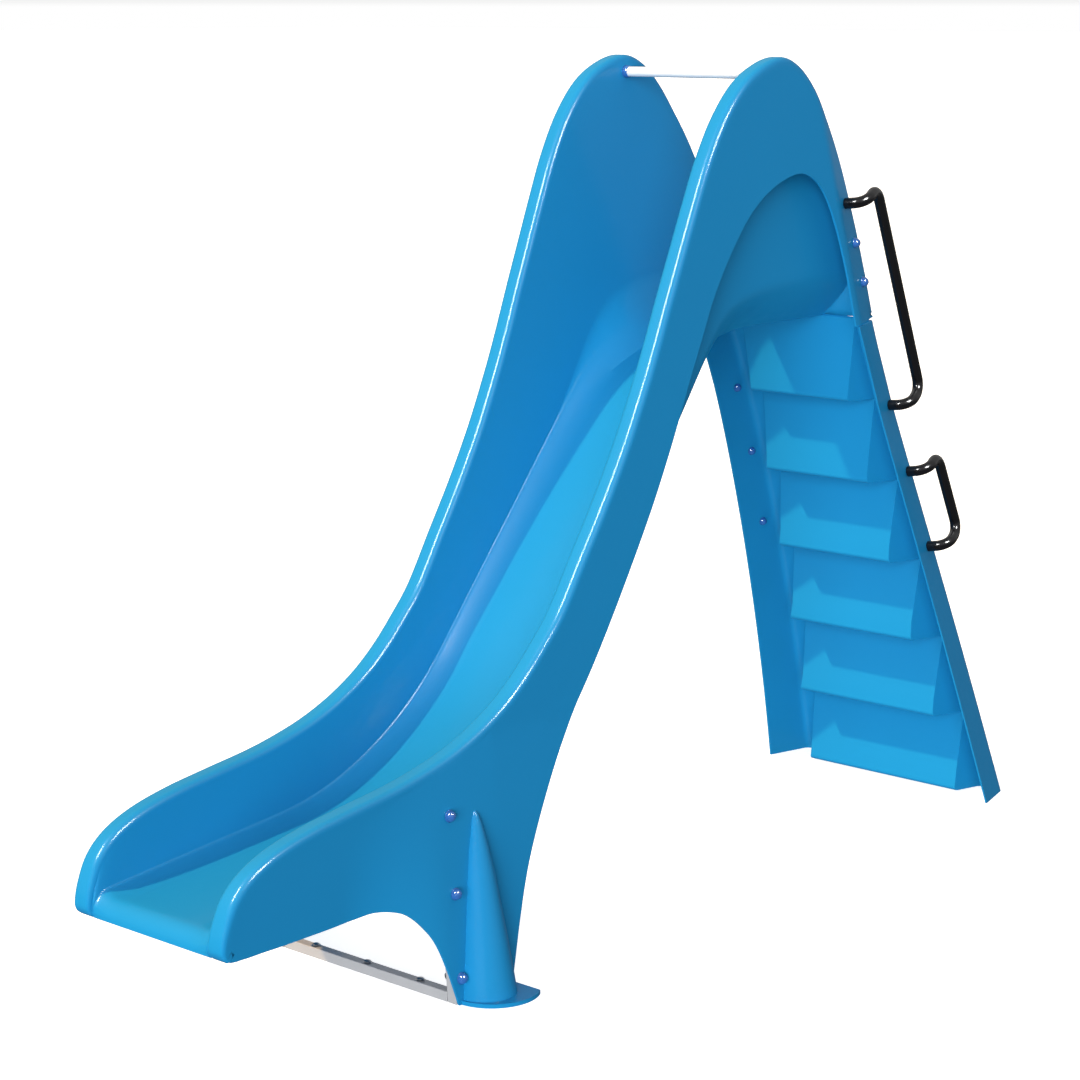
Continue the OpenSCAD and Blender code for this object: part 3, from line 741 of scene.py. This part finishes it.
FOOT_NUTS = [(-796, 440), (-799, 260), (-800.5, 63)]
JOINT_NUTS = [(781, 1631), (830, 1525)]
NUT_SEAT = {"foot": 0.8, "joint": 0.3}
CAP_SEAT = 1.3
foot_places = [skin_place(n, NUT_SEAT["foot"]) for n in FOOT_NUTS]
joint_places = [skin_place(n, NUT_SEAT["joint"]) for n in JOINT_NUTS]
scatter("foot_dome_caps", lathe(dome_profile(29, 17)), foot_places, nut_blue, "nut_caps", ["foot_dome_nuts"])
scatter("joint_dome_caps", lathe(dome_profile(28, 17)), joint_places, nut_blue, "nut_caps",
        ["joint_dome_nuts"])
cap_places = []
for level, ends in ENDS.items():
    upper_wall = SKIN_WALL if level == "upper" else LADDER_WALL
    for z, wall in ((0, upper_wall), (-(ends[0] - ends[1]).length, LADDER_WALL)):
        seat = at(-wall - CAP_SEAT, 0, z) @ Matrix.Rotation(math.pi, 4, "Z")
        cap_places.append(rail_frame(ends) @ seat)
scatter("handrail_inner_caps", lathe(dome_profile(24, 14)), cap_places, nut_blue, "nut_caps",
        ["handrail_caps"])

# ------------------------------------------------------------------ cross bar
BAR = (415, 2073)
BAR_D = 26
BAR_HALF = rim_inner(BAR[1]) - 3
BAR_SPANS = 20
bar_profile = [(-BAR_HALF, 0)]
bar_profile += [(-BAR_HALF + 2 * BAR_HALF * i / BAR_SPANS, BAR_D / 2) for i in range(BAR_SPANS + 1)]
bar_profile += [(BAR_HALF, 0)]
bar = new_object("cross_bar", mesh_from("cross_bar", [moved(lathe(bar_profile, 48), at(0, *BAR))]), sharp=40)
finish_piece(bar, bar_white, "bar_white", "top_bar")
R0 = BAR_D / 2
COLLAR_LENGTH = 14
collar = [(0, R0 + 0.2), (0, R0 + 3.5)]
collar += [(-COLLAR_LENGTH * math.sin(a), R0 + 0.4 + 3.1 * math.cos(a))
           for a in np.linspace(0.15, math.pi / 2, 9)]
collar += [(0, R0 + 0.2)]
scatter("bar_collars", lathe(collar, 48), [at(BAR_HALF + 2, *BAR)], nut_blue, "nut_caps",
        ["top_bar_collars"])

# ------------------------------------------------------------------ foot frame and floor bolts
FRAME_BAR = dict(h=25, w=27, front=-812.5, width=27, top=467)
POST_Y = FRAME_BAR["front"] + FRAME_BAR["w"] / 2
LEAN = (skin_x(POST_Y, 0) - skin_x(POST_Y, 440)) / 440
FOOT_X = skin_x(POST_Y, 0) - SKIN_WALL - 1.6


def box(lo, hi):
    xs, ys, zs = ((lo[i], hi[i]) for i in range(3))
    v = [(x * MM, y * MM, z * MM) for x in xs for y in ys for z in zs]
    f = [(0, 1, 3, 2), (4, 6, 7, 5), (0, 4, 5, 1), (2, 3, 7, 6), (0, 2, 6, 4), (1, 5, 7, 3)]
    return v, f


def leaned(part):
    v, f = part
    return [(x - LEAN * z, y, z) for x, y, z in v], f


f = FRAME_BAR
inner = FOOT_X - f["width"] - 3
bar_box = box((-inner, f["front"], 0), (inner, f["front"] + f["w"], f["h"]))
post = leaned(box((FOOT_X - f["width"], f["front"], 0), (FOOT_X, f["front"] + f["w"], f["top"])))
foot = new_object("foot_frame_bars", mesh_from("foot_frame_bars", [bar_box, post, flipped(post)]), sharp=30)
bevel(foot, 2.0, 4, 40)
finish_piece(foot, frame_grey, "frame_metal", "foot_frame")

FLOOR_X = (-173, 0, 173)
up = Matrix.Rotation(-math.pi / 2, 4, "Y")
head = [(0, 0), (0, 8.6), (0.5, 9), (2.2, 9), (3.4, 8.2), (4.6, 6.4), (5.6, 3.6), (6, 0)]
shank = [(0, 0), (0, 4.5), (24, 4.5), (24, 0)]
washer = [(0.2, 4.8), (0.2, 11.6), (0.5, 12), (1.4, 12), (1.8, 11.6), (1.8, 4.8), (0.2, 4.8)]


def on_bar(part, height):
    """A copy of part at each floor bolt, with its base at this height."""
    return [moved(part, at(x, POST_Y, height) @ up) for x in FLOOR_X]


floor_bolts = on_bar(lathe(head), f["h"] + 2) + on_bar(lathe(shank, 24), f["h"] - 22)
heads = new_object("floor_bolt_heads", mesh_from("floor_bolt_heads", floor_bolts), sharp=40)
finish_piece(heads, steel, "fixings", "floor_bolts")
floor_washers = on_bar(lathe(washer), f["h"])
washers = new_object("floor_bolt_washers", mesh_from("floor_bolt_washers", floor_washers), sharp=30)
finish_piece(washers, steel, "fixings", "floor_washers")

for name in ("handrail_bolts", "joint_bolts", "joint_washers", "foot_bolts", "foot_washers"):
    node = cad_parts[name]
    node.data.materials.clear()
    node.data.materials.append(steel)

# ------------------------------------------------------------------ floor and light
scene = bpy.context.scene
world = bpy.data.worlds.new("studio")
scene.world = world
world.use_nodes = True
sky_nodes, sky_links = world.node_tree.nodes, world.node_tree.links
# height above the horizon as (z + 1) / 2, grey level
SKY = [(0.0, 0.12), (0.489, 0.12), (0.492, 1.0), (0.502, 1.0), (0.505, 0.4), (0.8, 0.6)]
sky_place = sky_nodes.new("ShaderNodeTexCoord")
sky_axes = sky_nodes.new("ShaderNodeSeparateXYZ")
sky_height = sky_nodes.new("ShaderNodeMapRange")
sky_height.inputs["From Min"].default_value = -1
sky_ramp = sky_nodes.new("ShaderNodeValToRGB")
while len(sky_ramp.color_ramp.elements) < len(SKY):
    sky_ramp.color_ramp.elements.new(0.5)
for stop, (height, grey) in zip(sky_ramp.color_ramp.elements, SKY):
    stop.position = height
    stop.color = (grey, grey, grey, 1)
sky_links.new(sky_place.outputs["Generated"], sky_axes.inputs["Vector"])
sky_links.new(sky_axes.outputs["Z"], sky_height.inputs["Value"])
sky_links.new(sky_height.outputs["Result"], sky_ramp.inputs["Fac"])
sky_links.new(sky_ramp.outputs["Color"], sky_nodes["Background"].inputs["Color"])

FLOOR_HALF = 200
corner = [(-1, -1), (1, -1), (1, 1), (-1, 1)]
floor_mesh = bpy.data.meshes.new("floor")
floor_mesh.from_pydata([(x * FLOOR_HALF, y * FLOOR_HALF, 0) for x, y in corner], [], [(0, 1, 2, 3)])
floor = new_object("floor", floor_mesh, sharp=0)
floor_paint = material("floor_paint", (0.55, 0.55, 0.55), 0.8, mottle=0.004, mottle_scale=1, specular=0.1)
floor_shader = floor_paint.node_tree.nodes["Principled BSDF"]
floor_shader.inputs["Emission Color"].default_value = (1, 1, 1, 1)
floor_shader.inputs["Emission Strength"].default_value = 0.88
floor.data.materials.append(floor_paint)
floor.visible_diffuse = False
floor.visible_glossy = False
floor.visible_shadow = False


def toward(azimuth, elevation):
    """Unit vector from the object toward a light; azimuth 0 is the water end, 90 the right-hand skin."""
    a, e = math.radians(azimuth), math.radians(elevation)
    return Vector((math.sin(a) * math.cos(e), -math.cos(a) * math.cos(e), math.sin(e)))


def add_light(name, kind, azimuth, elevation, distance, energy):
    light = bpy.data.objects.new(name, bpy.data.lights.new(name, kind))
    light.data.energy = energy
    light.location = Vector((0, 0, 0.9)) + toward(azimuth, elevation) * distance
    light.rotation_euler = (-toward(azimuth, elevation)).to_track_quat("-Z", "Y").to_euler()
    scene.collection.objects.link(light)
    return light


# azimuth, elevation, strength, softness, tint
SUNS = {"key": (-40, 50, 1.7, 2, (2.2, 1.5, 0.75)), "fill": (29, 6, 3.3, 40, (1, 1.03, 1)),
        "bounce": (0, -65, 0.8, 40, (1, 1, 1))}
for name, (azimuth, elevation, strength, softness, tint) in SUNS.items():
    sun = add_light(name, "SUN", azimuth, elevation, 6, strength)
    sun.data.angle = math.radians(softness)
    sun.data.color = tint
    sun.visible_glossy = False
for name, azimuth in (("spark_front", -1), ("spark_side", 83)):
    spark = add_light(name, "AREA", azimuth, 40, 6, 1100)
    spark.data.size = 1.8
    spark.visible_diffuse = False

scene.view_settings.view_transform = "Standard"
